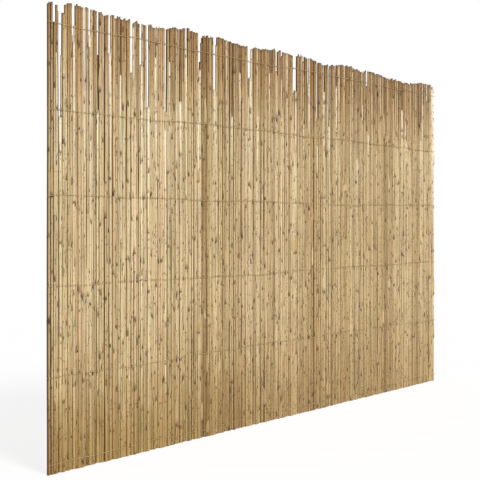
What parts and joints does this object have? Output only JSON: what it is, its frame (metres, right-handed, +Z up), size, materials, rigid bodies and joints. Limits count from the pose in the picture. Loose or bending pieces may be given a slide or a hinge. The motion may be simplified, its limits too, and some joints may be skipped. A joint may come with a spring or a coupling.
{
  "type": "reed screen",
  "caption": "Natural reed screen: upright reeds bound side by side by rows of wire, as a flat panel to fix along a fence.",
  "frame": {"origin": "middle of the mat's foot on the ground: half way along its width and half way through its reeds", "axes": "+X along the mat, to the right seen from the front; -Y the front, where the carrier wires lie; +Z up along the reeds"},
  "size_m": [3.012, 0.0155, 1.5147],
  "materials": {
    "reed": "dry natural reed",
    "carrier_wire": "dull brown wire",
    "binding_wire": "dull brown wire"
  },
  "bodies": {
    "root": {"reed_mat": "reed", "carrier_wire_1": "carrier_wire", "carrier_wire_2": "carrier_wire", "carrier_wire_3": "carrier_wire", "carrier_wire_4": "carrier_wire", "carrier_wire_5": "carrier_wire", "carrier_wire_6": "carrier_wire", "binding_wire_1": "binding_wire", "binding_wire_2": "binding_wire", "binding_wire_3": "binding_wire", "binding_wire_4": "binding_wire", "binding_wire_5": "binding_wire", "binding_wire_6": "binding_wire"}
  },
  "joints": []
}
